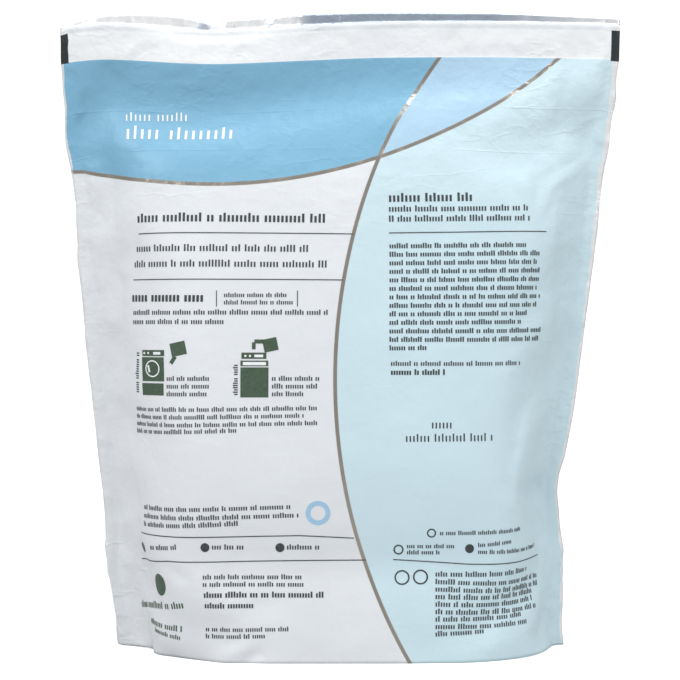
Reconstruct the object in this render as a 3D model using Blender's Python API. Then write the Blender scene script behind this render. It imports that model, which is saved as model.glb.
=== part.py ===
"""A filled stand-up pouch of laundry pods, sealed on every side: one closed solid.

Metres, +Z up. The printed panel faces -Y and the origin is on the floor under the middle.
The pouch is two flat panels joined by side seals and a top seal, over a gusset that
opens into the base and stands on its own belly and on the panels' lower rims.
"""

import bmesh
import bpy
import numpy as np

MM = 0.001

# Outline
TOP_WIDTH = 250 * MM
BASE_WIDTH = 196 * MM
NEAR_HEIGHT = 282 * MM
FAR_LIP = 4 * MM
BODY_DEPTH = 80 * MM
RIM_DEPTH = 82 * MM

# Seals, film and gusset
SIDE_SEAL = 8 * MM
TOP_SEAL = 17 * MM
FILM = 0.4 * MM
GUSSET_HEIGHT = 43 * MM
CHANNEL_HEIGHT = 7 * MM
BASE_SEAL = 5 * MM
LEFT_CORNER_LIFT = 1.2 * MM
RIGHT_CORNER_LIFT = 1 * MM

# How far each side edge has widened from base to top, at shares of the height
LEFT_TAPER = (
    (0, 0.02), (0.02, 0.075), (0.15, 0.245), (0.235, 0.335), (0.47, 0.595), (0.6, 0.73),
    (0.745, 0.815), (0.81, 0.925), (0.935, 0.99), (1, 1),
)
RIGHT_TAPER = (
    (0, 0.08), (0.04, 0.05), (0.07, 0.095), (0.165, 0.08), (0.2, 0.045), (0.255, -0.015),
    (0.28, 0.03), (0.31, 0.145), (0.39, 0.295), (0.555, 0.51), (0.745, 0.73), (0.84, 0.895),
    (1, 1),
)

# Half depth along the middle, as a share of the belly's, at shares of the height
BELLY = (
    (0, 1), (0.045, 1), (0.095, 0.98), (0.167, 0.91), (0.235, 0.965), (0.322, 0.975),
    (0.413, 0.912), (0.49, 0.86), (0.57, 0.78), (0.645, 0.705), (0.72, 0.6), (0.795, 0.475),
    (0.87, 0.26), (0.945, 0.06), (1, 0),
)

# Depth across, as a share of the middle's, at distances in from the side seal. A distance is
# a share of the half depth. The shoulder is steep low down and eases towards the top seal
LOW_SHOULDER = ((0, 0), (0.15, 0.42), (0.35, 0.76), (0.55, 0.89), (0.75, 0.95), (1.15, 1))
HIGH_SHOULDER = ((0, 0), (0.15, 0.21), (0.35, 0.53), (0.55, 0.74), (0.75, 0.88), (0.95, 0.95), (1.3, 1))
SHOULDER_EASES = (0.28, 0.5)

# The dip in the top edge, with the crease that bends the seal there
DIP_X = -60 * MM
DIP_WIDTH = 27 * MM
DIP_DROP = 4.5 * MM
DIP_BEND = 6 * MM
HEADER_WAVE = 2.5 * MM
HEADER_WAVE_LENGTH = 230 * MM
MOUTH_LEAN = 2.5 * MM

# Mesh density
COLUMNS = 36
BODY_ROWS = 38
SEAL_ROWS = 3
SKIRT_ROWS = 2
BELLY_ROWS = 9

# Folds, each as its start and end, its width and its rise outwards. A place is a share of
# the way across (-1 and 1 are the side seals) and of the way up to the top seal; width and
# rise are in these units
FOLD_WIDTH = 8 * MM
FOLD_RISE = 3 * MM
NEAR_FOLDS = (
    ((-0.93, 0.97), (-0.92, 0.31), 0.7, -0.4),
    ((-0.92, 0.31), (-0.73, 0.02), 0.7, -0.4),
    ((0.85, 0.97), (0.86, 0.82), 0.6, -0.5),
    ((1.00, 0.87), (0.83, 0.80), 0.7, -0.5),
    ((0.89, 0.73), (0.93, 0.45), 0.6, 0.4),
    ((0.85, 0.44), (0.83, 0.27), 0.7, -0.4),
    ((1.00, 0.29), (0.86, 0.28), 0.9, -1.0),
    ((-0.94, -0.02), (-0.93, 0.11), 0.9, -3.4),
    ((-0.97, 0.21), (-0.92, 0.34), 1.1, -1.9),
    ((0.95, -0.02), (0.95, 0.13), 0.9, 2.2),
    ((-0.41, 0.04), (-0.62, 0.005), 0.5, 0.3),
    ((0.72, 0.01), (0.87, 0.105), 0.7, 0.3),
)

# Folds of the hidden panel, finished as the printed one would be
FAR_FOLDS = (
    ((0.92, 0.95), (0.90, 0.55), 0.7, -0.4),
    ((-0.92, 0.95), (-0.80, 0.75), 0.7, -0.5),
    ((0.95, 0.14), (0.94, 0.25), 0.9, -1.4),
    ((-0.95, 0.24), (-0.92, 0.40), 1.1, -1.6),
    ((-0.86, 0.72), (-0.52, 0.74), 1.2, -1.6),
    ((0.95, -0.02), (0.95, 0.05), 0.9, 1.6),
    ((0.84, 0.21), (0.66, 0.03), 0.7, -0.2),
    ((-0.84, 0.20), (-0.66, 0.02), 0.7, -0.2),
)

# Print: two thin metallic arcs, each (centre x, centre z, radius), and the fields between them
SWEEP_ARC = (-62.3 * MM, 464.8 * MM, 256.7 * MM)
DIVIDE_ARC = (249.1 * MM, 119.5 * MM, 251.3 * MM)
ARC_WIDTH = 1.6 * MM
HEADER_WHITE = (0.86, 0.89, 0.91)
BLUE = (0.27, 0.53, 0.74)
LIGHT_BLUE = (0.47, 0.72, 0.86)
PALE_BLUE = (0.62, 0.75, 0.81)
WHITE = (0.76, 0.80, 0.82)
BRONZE = (0.38, 0.34, 0.30)
FILM_ROUGHNESS = 0.38


def clear_scene():
    """Remove what the scene starts with."""
    for item in list(bpy.data.objects):
        bpy.data.objects.remove(item, do_unlink=True)


def through(points, at):
    """Smooth curve through a few points, with no overshoot between them."""
    x, y = np.array(points, float).T
    secants = np.diff(y) / np.diff(x)
    slopes = np.zeros_like(y)
    same_way = secants[:-1] * secants[1:] > 0
    product = np.where(same_way, secants[:-1] * secants[1:], 0)
    slopes[1:-1] = 2 * product / np.where(same_way, secants[:-1] + secants[1:], 1)
    slopes[0], slopes[-1] = secants[0], secants[-1]
    at = np.clip(at, x[0], x[-1])
    cell = np.clip(np.searchsorted(x, at) - 1, 0, len(x) - 2)
    span = x[cell + 1] - x[cell]
    t = (at - x[cell]) / span
    return (
        y[cell] * (1 + 2 * t) * (1 - t) ** 2
        + slopes[cell] * span * t * (1 - t) ** 2
        + y[cell + 1] * t * t * (3 - 2 * t)
        + slopes[cell + 1] * span * t * t * (t - 1)
    )


def ramp(value, start, end):
    """0 before start, 1 after end, smooth between."""
    t = np.clip((value - start) / (end - start), 0, 1)
    return t * t * (3 - 2 * t)


def edge_x(side, z):
    """Where the side edge runs at height z; side is -1 on the left and 1 on the right."""
    taper = LEFT_TAPER if side < 0 else RIGHT_TAPER
    grown = through(taper, z / NEAR_HEIGHT)
    return side * (BASE_WIDTH + (TOP_WIDTH - BASE_WIDTH) * grown) / 2


def across(u, z):
    """World x of the share u of the way across: -1 and 1 are the side seals' inner lines."""
    left = edge_x(-1, z) + SIDE_SEAL
    right = edge_x(1, z) - SIDE_SEAL
    inner = np.clip(u, -1, 1)
    outer = (u - inner) * SIDE_SEAL
    return left + (right - left) * (inner + 1) / 2 + outer


def rim_z(u):
    """Height of the lower rim, which lifts towards the bottom corners."""
    lift = np.where(u < 0, LEFT_CORNER_LIFT, RIGHT_CORNER_LIFT)
    return lift * np.clip((np.abs(u) - 0.6) / 0.4, 0, 1.2) ** 1.5


def dip(x):
    """Share of the top edge's dip at x."""
    return np.exp(-(((x - DIP_X) / DIP_WIDTH) ** 2))


def seal_z(u):
    """Height of the top seal's lower line."""
    x = across(u, NEAR_HEIGHT - TOP_SEAL)
    return NEAR_HEIGHT - TOP_SEAL - 0.35 * DIP_DROP * dip(x)


def top_z(u, lip):
    """Height of a panel's top edge; lip is what it stands above the near one."""
    x = across(u, NEAR_HEIGHT)
    return NEAR_HEIGHT + lip - DIP_DROP * dip(x)


def folds_at(folds, x, z):
    """Sum of the folds' rises: each is a soft ridge or valley along its own line."""
    total = np.zeros(np.broadcast(x, z).shape)
    for start, end, width, rise in folds:
        az, bz = (place[1] * (NEAR_HEIGHT - TOP_SEAL) for place in (start, end))
        ax, bx = across(start[0], az), across(end[0], bz)
        dx, dz = bx - ax, bz - az
        along = np.clip(((x - ax) * dx + (z - az) * dz) / (dx * dx + dz * dz), 0, 1)
        away = np.hypot(x - ax - along * dx, z - az - along * dz)
        total += rise * FOLD_RISE * np.exp(-((away / (width * FOLD_WIDTH)) ** 2))
    return total


def half_depth(u, z, folds):
    """Distance of a panel's outer face from the middle plane."""
    height = z / (NEAR_HEIGHT - TOP_SEAL)
    belly = through(BELLY, height)
    deepest = BODY_DEPTH + (RIM_DEPTH - BODY_DEPTH) * (1 - ramp(height, 0, SHOULDER_EASES[0]))
    half_width = (edge_x(1, z) - edge_x(-1, z)) / 2 - SIDE_SEAL
    from_seal = (1 - np.clip(np.abs(u), 0, 1)) * half_width / (BODY_DEPTH / 2)
    eased = ramp(height, *SHOULDER_EASES)
    lens = (1 - eased) * through(LOW_SHOULDER, from_seal) + eased * through(HIGH_SHOULDER, from_seal)
    depth = (deepest / 2 - FILM) * belly * lens
    room = ramp(lens, 0, 0.3) * ramp(depth, 2 * FILM, BODY_DEPTH / 12)
    return FILM + depth + room * folds_at(folds, across(u, z), z)


def sway(x, z):
    """How far the flat seals wander from the middle plane."""
    up = ramp(z, NEAR_HEIGHT - 3 * TOP_SEAL, NEAR_HEIGHT)
    wave = HEADER_WAVE * np.sin(2 * np.pi * x / HEADER_WAVE_LENGTH)
    mouth = np.exp(-(((z - NEAR_HEIGHT + 2 * TOP_SEAL) / TOP_SEAL) ** 2))
    lean = -MOUTH_LEAN * np.clip(2 * x / BASE_WIDTH, -1, 1) * mouth
    return up * (wave + DIP_BEND * dip(x) * (2 * up - 1)) + lean


def columns():
    """Shares across: the side edge, the seal's inner line, the body, and the same again."""
    body = np.sin(np.linspace(-1, 1, COLUMNS + 1) * np.pi / 2 * 0.86) / np.sin(np.pi / 2 * 0.86)
    return np.concatenate([[-2], body, [2]])


def panel_points(side, folds, lip):
    """Rows of points of one panel's outer face, from its rim to its top edge."""
    u = columns()
    body = np.linspace(0, 1, BODY_ROWS + 1)[:, None]
    low = rim_z(u)
    z_body = low + (seal_z(u) - low) * body
    seal = np.linspace(0, 1, SEAL_ROWS + 1)[1:, None]
    z_seal = seal_z(u) + (top_z(u, lip) - seal_z(u)) * seal
    z = np.concatenate([z_body, z_seal])
    x = across(u, z)
    y = side * half_depth(u, z, folds) + sway(x, z)
    return np.stack([x, y, z], axis=-1)


def gusset_points():
    """Rows of points of the base: up one skirt, over the belly and down the other."""
    u = columns()[1:-1]
    low = rim_z(u)
    inside = np.abs(u)
    closing = ramp(1 - inside, 0, 0.02)
    seal = low + closing * (BASE_SEAL + (GUSSET_HEIGHT - BASE_SEAL) * inside**2.6)
    arch = GUSSET_HEIGHT * inside**4 * closing
    channel = CHANNEL_HEIGHT * (1 - ramp(inside, 0.4, 0.9))
    rows = []
    for share in np.linspace(0, 1, SKIRT_ROWS + 1):
        z = low + (seal - low) * share
        rows.append((-(half_depth(u, z, NEAR_FOLDS) - FILM), z))
    y_near = rows[-1][0]
    y_far = half_depth(u, seal, FAR_FOLDS) - FILM
    for w in np.linspace(-1, 1, BELLY_ROWS + 2)[1:-1]:
        y = (y_near + y_far) / 2 + w * (y_far - y_near) / 2
        rise = np.clip((abs(w) - 0.6) / 0.4, 0, 1) ** 2
        hollow = channel * ramp(abs(w), 0.2, 0.6) * (1 - rise)
        rows.append((y, arch + hollow + (seal - arch) * rise))
    for share in np.linspace(1, 0, SKIRT_ROWS + 1):
        z = low + (seal - low) * share
        rows.append((half_depth(u, z, FAR_FOLDS) - FILM, z))
    return np.stack([np.stack([across(u, z), y, z], axis=-1) for y, z in rows])


def add_grid(bm, points):
    """A grid of faces through rows of points; returns its vertices in rows."""
    rows, cols = points.shape[:2]
    made = bmesh.ops.create_grid(bm, x_segments=cols - 1, y_segments=rows - 1, size=1)["verts"]
    for vert, point in zip(made, points.reshape(-1, 3)):
        vert.co = point
    return [made[row * cols : (row + 1) * cols] for row in range(rows)]


def stitch(bm, first, second):
    """Faces between two lines of as many vertices."""
    for a, b, c, d in zip(first, first[1:], second[1:], second):
        bm.faces.new((a, b, c, d))


def pouch_mesh():
    """The closed solid: two panels and the base, joined at the rims, sides and top."""
    bm = bmesh.new()
    near = add_grid(bm, panel_points(-1, NEAR_FOLDS, 0))
    far = add_grid(bm, panel_points(1, FAR_FOLDS, FAR_LIP))
    base = add_grid(bm, gusset_points())
    stitch(bm, near[0][1:-1], base[0])
    stitch(bm, far[0][1:-1], base[-1])
    for end in (0, -1):
        stitch(bm, [row[end] for row in near], [row[end] for row in far])
    stitch(bm, near[-1], far[-1])
    for edge, inner in ((0, 1), (-1, -2)):
        pocket_end = [row[edge] for row in base]
        tip = pocket_end[0]
        bmesh.ops.pointmerge(bm, verts=pocket_end, merge_co=tip.co)
        bm.faces.new((near[0][edge], near[0][inner], tip, far[0][inner], far[0][edge]))
    bmesh.ops.recalc_face_normals(bm, faces=bm.faces)
    mesh = bpy.data.meshes.new("pouch")
    bm.to_mesh(mesh)
    bm.free()
    return mesh


def math_node(tree, operation, first, second):
    """A Math node of two inputs, each a socket or a number; returns its output."""
    node = tree.nodes.new("ShaderNodeMath")
    node.operation = operation
    for socket, value in zip(node.inputs, (first, second)):
        if isinstance(value, bpy.types.NodeSocket):
            tree.links.new(value, socket)
        else:
            socket.default_value = value
    return node.outputs[0]


def mixed(tree, share, low, high):
    """A colour that goes from low to high with share; low and high are sockets or colours."""
    node = tree.nodes.new("ShaderNodeMix")
    node.data_type = "RGBA"
    tree.links.new(share, node.inputs[0])
    for socket, value in zip((node.inputs[6], node.inputs[7]), (low, high)):
        if isinstance(value, bpy.types.NodeSocket):
            tree.links.new(value, socket)
        else:
            socket.default_value = (*value, 1)
    return node.outputs[2]


def film_material():
    """Printed film: colour fields parted by two thin metallic arcs under a white top seal."""
    material = bpy.data.materials.new("printed_film")
    material.use_nodes = True
    tree = material.node_tree
    shader = tree.nodes["Principled BSDF"]
    shader.inputs["Roughness"].default_value = FILM_ROUGHNESS
    shader.inputs["Metallic"].default_value = 0
    place = tree.nodes.new("ShaderNodeTexCoord").outputs["Object"]
    split = tree.nodes.new("ShaderNodeSeparateXYZ")
    tree.links.new(place, split.inputs[0])
    x, z = split.outputs[0], split.outputs[2]

    def beyond(arc):
        """How far outside the arc's circle a point lies."""
        dx = math_node(tree, "SUBTRACT", x, arc[0])
        dz = math_node(tree, "SUBTRACT", z, arc[1])
        square = math_node(tree, "ADD", math_node(tree, "POWER", dx, 2), math_node(tree, "POWER", dz, 2))
        return math_node(tree, "SUBTRACT", math_node(tree, "SQRT", square, 0), arc[2])

    below_sweep = beyond(SWEEP_ARC)
    left_of_divide = beyond(DIVIDE_ARC)
    is_below = math_node(tree, "GREATER_THAN", below_sweep, 0)
    is_left = math_node(tree, "GREATER_THAN", left_of_divide, 0)
    upper = mixed(tree, is_left, LIGHT_BLUE, BLUE)
    lower = mixed(tree, is_left, PALE_BLUE, WHITE)
    colour = mixed(tree, is_below, upper, lower)
    for distance in (below_sweep, left_of_divide):
        off_line = math_node(tree, "ABSOLUTE", distance, 0)
        on_line = math_node(tree, "LESS_THAN", off_line, ARC_WIDTH / 2)
        colour = mixed(tree, on_line, colour, BRONZE)
    in_seal = math_node(tree, "GREATER_THAN", z, NEAR_HEIGHT - TOP_SEAL)
    colour = mixed(tree, in_seal, colour, HEADER_WHITE)
    tree.links.new(colour, shader.inputs["Base Color"])
    return material


def build():
    """Make the pouch and put it in its own collection."""
    clear_scene()
    collection = bpy.data.collections.new("laundry_pod_bag")
    bpy.context.scene.collection.children.link(collection)
    pouch = bpy.data.objects.new("pouch", pouch_mesh())
    pouch.data.materials.append(film_material())
    pouch.data.shade_smooth()
    collection.objects.link(pouch)


build()
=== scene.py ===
"""Looks of the laundry pod bag: a filled stand-up pouch of printed foil film.

The pouch starts as its flat pattern: two panels and a folded base gusset. A relaxation then
fills it, holds its seams where the photographed ones run, and lets the film buckle as it
must. The print is laid on in the film's own flat coordinates, so it follows every fold.
"""

import enum
import logging
import math
import random
from dataclasses import dataclass, field

import bmesh
import bpy
import numpy as np
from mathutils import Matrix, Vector

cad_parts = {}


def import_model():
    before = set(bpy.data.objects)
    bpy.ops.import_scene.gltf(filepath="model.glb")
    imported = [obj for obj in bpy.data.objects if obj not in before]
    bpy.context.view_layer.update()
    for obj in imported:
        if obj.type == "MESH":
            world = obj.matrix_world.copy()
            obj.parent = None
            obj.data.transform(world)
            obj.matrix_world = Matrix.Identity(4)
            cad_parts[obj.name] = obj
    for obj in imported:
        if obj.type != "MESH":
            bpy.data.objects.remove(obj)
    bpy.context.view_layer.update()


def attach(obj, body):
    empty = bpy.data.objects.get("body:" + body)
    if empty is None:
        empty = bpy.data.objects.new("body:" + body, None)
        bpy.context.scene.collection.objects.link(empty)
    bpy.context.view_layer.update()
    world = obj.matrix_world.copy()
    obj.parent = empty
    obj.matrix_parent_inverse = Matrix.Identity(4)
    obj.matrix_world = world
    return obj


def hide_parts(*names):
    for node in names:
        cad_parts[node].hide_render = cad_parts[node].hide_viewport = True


LOG = logging.getLogger("pouch")
MM = 0.001

Points = tuple[tuple[float, float], ...]
Colour = tuple[float, float, float]


class Sheet(enum.IntEnum):
    """The sheets of film, as the film attribute's third number names them."""

    NEAR = 0
    FAR = 1
    BASE = 2
    LIP = 3


class Skin(enum.IntEnum):
    """Material slots of the film mesh."""

    PRINT = 0
    FOIL = 1


@dataclass(frozen=True)
class FlatPattern:
    """The pouch laid flat, before it was filled, in millimetres."""

    width: float = 250.0
    height: float = 292.0
    gusset: float = 48.0
    side_seal: float = 8.0
    top_seal: float = 16.0
    base_seal: float = 5.0
    base_curve: float = 2.6
    wall: float = 0.12

    def base_seal_height(self, s: np.ndarray) -> np.ndarray:
        """Height of the U-shaped seal that joins a panel to its gusset leaf.

        Args:
            s: Places across the flat pattern, from its middle.

        Returns:
            The seal's height above the lower rim at each place.
        """
        share = np.clip(np.abs(s) / (self.width / 2 - self.side_seal), 0, 1)
        return self.base_seal + (self.gusset - self.base_seal) * share**self.base_curve


@dataclass(frozen=True)
class Outline:
    """Where the filled pouch's edges run, in millimetres: heights against places across."""

    left: Points = (
        (0, 98.5), (6, 100), (42, 104.6), (66, 107), (133, 114.1), (169, 117.1), (192, 118.2),
        (210, 119.2), (228, 122.2), (246, 123.4), (264, 124), (286, 122.8),
    )
    right: Points = (
        (0, 99.5), (2, 100.6), (11, 98.3), (20, 100.6), (46, 100.1), (56, 99.2), (65, 98.0),
        (72, 97.6), (79, 98.8), (88, 102), (110, 106), (133, 108.7), (156, 111.6), (187, 115.6),
        (210, 117.1), (237, 121.2), (264, 123.4), (286, 124.2),
    )
    seal_line: Points = (
        (-125, 266.0), (-103, 266.5), (-72, 265.0), (-56, 264.8), (-22, 265.9), (10, 266.4),
        (104, 266.3), (125, 265.4),
    )
    near_top: Points = (
        (-125, 277.2), (-112, 280.8), (-96, 280.5), (-77, 278.4), (-56, 276.0), (-43, 277.4),
        (-13, 279.8), (9, 281.3), (27, 282.1), (72, 282.1), (99, 281.0), (125, 280.2),
    )
    lip: Points = (
        (-125, 0.4), (-115, 2.6), (-109, 3.6), (-88, 5.3), (-77, 6.0), (-66, 5.0), (-56, 1.9),
        (-50, 4.6), (-18, 5.0), (30, 4.0), (80, 3.6), (123, 2.7), (125, 2.2),
    )
    rim: Points = (
        (-98, 0.5), (-93, 6), (-88, 14), (-77, 22), (-66, 31), (-55, 39), (-45, 40), (-30, 40),
        (32, 40), (42, 39), (58, 39), (74, 34), (85, 29), (92, 25), (96.5, 16), (99, 3),
    )
    deepest: Points = (
        (0, 41), (12, 40.5), (25, 39), (44, 36), (62, 38.5), (85, 39), (109, 36.5), (139, 33),
        (171, 28.5), (200, 22.5), (219, 18), (240, 10.5), (255, 4), (265, 1),
    )
    left_corner: float = 1.2
    right_corner: float = 1.0
    header_wave: float = 3.0
    header_wave_length: float = 250.0
    dip_place: float = -58.0
    dip_width: float = 28.0
    dip_bend: float = 6.0


@dataclass(frozen=True)
class Crease:
    """A line that filling and handling left in the near panel, in the photograph's pixels.

    The film stands out by depth along it, or in where depth is negative. One flank may be
    softer than the other: lean is how much wider the flank right of the line's run is.
    """

    points: Points
    width: float
    depth: float
    lean: float = 1.0


@dataclass(frozen=True)
class Pass:
    """One run of the relaxation: its grid step in millimetres, its length and its force."""

    step: float
    count: int
    force: float
    long_bend: float


class Relaxation:
    """Finds the form of the filled pouch from its flat pattern.

    Each sheet is a grid of points whose neighbours keep their flat distances. Pods and air
    press outwards until the pouch holds its volume, the seals keep the sheets together, and
    the floor carries it.
    """

    volume_litres = 2.6
    fill_height = 250.0
    air_share = 0.8
    weight = 0.0005
    damping = 0.9
    bend = 0.9
    shear = 0.8
    seam_hold = 0.15
    seam_flattening = 0.98
    header_hold = 0.1
    header_width = 0.998
    sweeps = 2
    push_every = 5
    push_softness = 0.05
    first_depth = 45.0
    first_narrowing = 0.2
    jitter = 0.05
    seed = 4
    crease_fade = 0.6
    crease_reach = 10.0

    def __init__(self, pattern: FlatPattern, outline: Outline, step: float) -> None:
        """Lay the three sheets out in a rough first form.

        Args:
            pattern: The flat pattern.
            outline: Where the edges run once the pouch is filled.
            step: Distance between grid points, in millimetres.
        """
        self.pattern = pattern
        self.outline = outline
        columns = round(pattern.width / step)
        rows = round(pattern.height / step)
        leaf_rows = round(pattern.gusset / step)
        self.leaf_rows = leaf_rows
        self.across = pattern.width / columns
        self.up = {
            Sheet.NEAR: pattern.height / rows,
            Sheet.FAR: pattern.height / rows,
            Sheet.BASE: pattern.gusset / leaf_rows,
        }
        self.s = np.linspace(-pattern.width / 2, pattern.width / 2, columns + 1)
        self.t = np.linspace(0, pattern.height, rows + 1)
        self.r = np.linspace(-pattern.gusset, pattern.gusset, 2 * leaf_rows + 1)
        self.in_side_seal = np.abs(self.s) > pattern.width / 2 - pattern.side_seal - 0.1
        self.in_top_seal = self.t > pattern.height - pattern.top_seal - 0.1
        seal_height = pattern.base_seal_height(self.s)
        self.bonded = self.t[: leaf_rows + 1, None] < seal_height
        self.sheets = self._first_form(seal_height)
        self.header = self._header_form()
        self.seams = self._seam_form()

    def _first_form(self, seal_height: np.ndarray) -> dict[Sheet, np.ndarray]:
        """A smooth lens over an arched base, to start from.

        Args:
            seal_height: Height of the base seal at each column.

        Returns:
            The points of each sheet.
        """
        pattern = self.pattern
        s, t = np.meshgrid(self.s, self.t)
        narrowing = 1 - self.first_narrowing * np.clip(1 - t / 270, 0, 1) ** 0.9
        lens = np.clip(1 - np.abs(s / (pattern.width / 2 - pattern.side_seal)) ** 2, 0, 1)
        below_seal = pattern.height - pattern.top_seal - t
        depth = self.first_depth * np.clip(below_seal / 150, 0, 1) ** 0.8
        near = np.stack([s * narrowing, -lens * depth, t * 0.99], axis=-1)
        far = near * (1, -1, 1)
        share = ((self.r + pattern.gusset) / (2 * pattern.gusset))[:, None, None]
        base = near[0] * (1 - share) + far[0] * share
        fold = 1 - np.abs(self.r) / pattern.gusset
        base[..., 2] += fold[:, None] * seal_height
        sheets = {Sheet.NEAR: near, Sheet.FAR: far, Sheet.BASE: base}
        noise = np.random.default_rng(self.seed)
        for points in sheets.values():
            points += noise.normal(0, self.jitter, points.shape)
        return sheets

    def _header_form(self) -> np.ndarray:
        """Where the top seal's rows are held.

        Returns:
            A point for each grid point of the top seal.
        """
        outline, x = self.outline, self.s * self.header_width
        low = np.interp(x, *zip(*outline.seal_line))
        high = np.interp(x, *zip(*outline.near_top))
        rows = self.t[self.in_top_seal]
        share = ((rows - rows[0]) / (rows[-1] - rows[0]))[:, None]
        dip = np.exp(-(((x - outline.dip_place) / outline.dip_width) ** 2))
        wave = outline.header_wave * np.sin(2 * np.pi * x / outline.header_wave_length)
        y = wave + outline.dip_bend * dip * (2 * share - 1)
        z = low + (high - low) * share
        return np.stack([np.broadcast_to(x, z.shape), y, z], axis=-1)

    def _seam_form(self) -> dict[int, np.ndarray]:
        """Where the side seams are held, as x and z for each row.

        Returns:
            The left seam under 0 and the right seam under -1, as grid columns.
        """
        outline = self.outline
        seams = {}
        for column, side, points, corner in (
            (0, -1, outline.left, outline.left_corner),
            (-1, 1, outline.right, outline.right_corner),
        ):
            top = np.interp(side * self.pattern.width / 2, *zip(*outline.near_top))
            z = corner + (top - corner) * self.t / self.pattern.height
            seams[column] = np.stack([side * np.interp(z, *zip(*points)), z], axis=-1)
        return seams

    @staticmethod
    def _keep_apart(a: np.ndarray, b: np.ndarray, rest: float, strength: float) -> None:
        """Move pairs of points towards their rest distance, in place.

        Args:
            a: First points of the pairs.
            b: Second points of the pairs.
            rest: Distance the pairs should have.
            strength: Share of the error to remove.
        """
        gap = b - a
        length = np.sqrt(np.einsum("...i,...i->...", gap, gap)) + 1e-9
        gap *= (0.5 * strength * (length - rest) / length)[..., None]
        a += gap
        b -= gap

    def _keep_lattice(self, points: np.ndarray, up: float, long_bend: float) -> None:
        """One sweep over a sheet's stretch, shear and bending, in place.

        Args:
            points: The sheet's points, in rows.
            up: Distance between its rows.
            long_bend: Strength of the bending limit over four cells.
        """
        across = self.across
        for turned, step in ((points, up), (points.swapaxes(0, 1), across)):
            for first in (0, 1):
                count = (len(turned) - first) // 2 * 2
                pair = turned[first : first + count]
                self._keep_apart(pair[::2], pair[1::2], step, 1.0)
            for reach, strength in ((2, self.bend), (4, long_bend)):
                self._keep_straight(turned, reach, reach * step, strength)
        diagonal = math.hypot(across, up)
        for row, column in ((0, 0), (0, 1), (1, 0), (1, 1)):
            rows = (len(points) - row) // 2 * 2
            columns = (points.shape[1] - column) // 2 * 2
            block = points[row : row + rows, column : column + columns]
            self._keep_apart(block[::2, ::2], block[1::2, 1::2], diagonal, self.shear)
            self._keep_apart(block[::2, 1::2], block[1::2, ::2], diagonal, self.shear)

    def _keep_straight(self, turned: np.ndarray, reach: int, rest: float, strength: float) -> None:
        """Keep points that are reach rows apart from folding together, in place.

        Args:
            turned: Points, whose first index runs along the line that is kept straight.
            reach: Rows between the two points of a pair.
            rest: Their flat distance.
            strength: Share of the error to remove.
        """
        if strength <= 0:
            return
        for first in range(2 * reach):
            a = turned[first : -reach : 2 * reach]
            b = turned[first + reach :: 2 * reach]
            count = min(len(a), len(b))
            self._keep_apart(a[:count], b[:count], rest, strength)

    def _join_seals(self) -> None:
        """Bring the sheets together where they are sealed, in place."""
        near, far, base = self.sheets.values()
        leaf = self.leaf_rows + 1
        for panel, gusset in ((near, base), (far, base[::-1])):
            mean = 0.5 * (panel[:leaf][self.bonded] + gusset[:leaf][self.bonded])
            panel[:leaf][self.bonded] = mean
            gusset[:leaf][self.bonded] = mean
        side = self.in_side_seal
        mean = 0.5 * (near[:, side] + far[:, side])
        near[:, side] = mean
        far[:, side] = mean
        mean = 0.5 * (near[self.in_top_seal] + far[self.in_top_seal])
        near[self.in_top_seal] = mean
        far[self.in_top_seal] = mean
        base[:leaf][:, side] = near[:leaf][:, side]
        base[::-1][:leaf][:, side] = far[:leaf][:, side]

    def _touch(self) -> None:
        """Keep the sheets above the floor and on their own sides of each other, in place."""
        near, far, _ = self.sheets.values()
        for points in self.sheets.values():
            np.maximum(points[..., 2], 0, out=points[..., 2])
        for panel, side in ((near, -1), (far, 1)):
            deepest = np.interp(panel[..., 2], *zip(*self.outline.deepest))
            past = np.maximum(side * panel[..., 1] - deepest, 0)
            panel[..., 1] -= side * past
        crossed = near[..., 1] > far[..., 1]
        middle = 0.5 * (near[..., 1] + far[..., 1])[crossed]
        near[..., 1][crossed] = middle
        far[..., 1][crossed] = middle

    def _hold(self) -> None:
        """Pull the seams and the top seal towards where the photographed ones run."""
        for panel, side in ((self.sheets[Sheet.NEAR], -1), (self.sheets[Sheet.FAR], 1)):
            rim = panel[0]
            depth = side * np.interp(rim[:, 0], *zip(*self.outline.rim))
            rim[:, 1] += self.seam_hold * (depth - rim[:, 1])
            rim[:, 2] *= 1 - self.seam_hold
            for column, target in self.seams.items():
                seam = panel[:, column]
                seam[:, ::2] += self.seam_hold * (target - seam[:, ::2])
                seam[:, 1] *= self.seam_flattening
            panel[self.in_top_seal] += self.header_hold * (self.header - panel[self.in_top_seal])

    def litres(self) -> float:
        """Volume inside the sheets, in litres."""
        total = 0.0
        for sheet, points in self.sheets.items():
            middle = (points[1:, 1:] + points[1:, :-1] + points[:-1, 1:] + points[:-1, :-1]) / 4
            cross = np.cross(points[1:, 1:] - points[:-1, :-1], points[:-1, 1:] - points[1:, :-1])
            facing = -0.5 if sheet is Sheet.NEAR else 0.5
            total += facing * np.einsum("ijk,ijk->", middle, cross) / 3
        return total / 1e6

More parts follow.
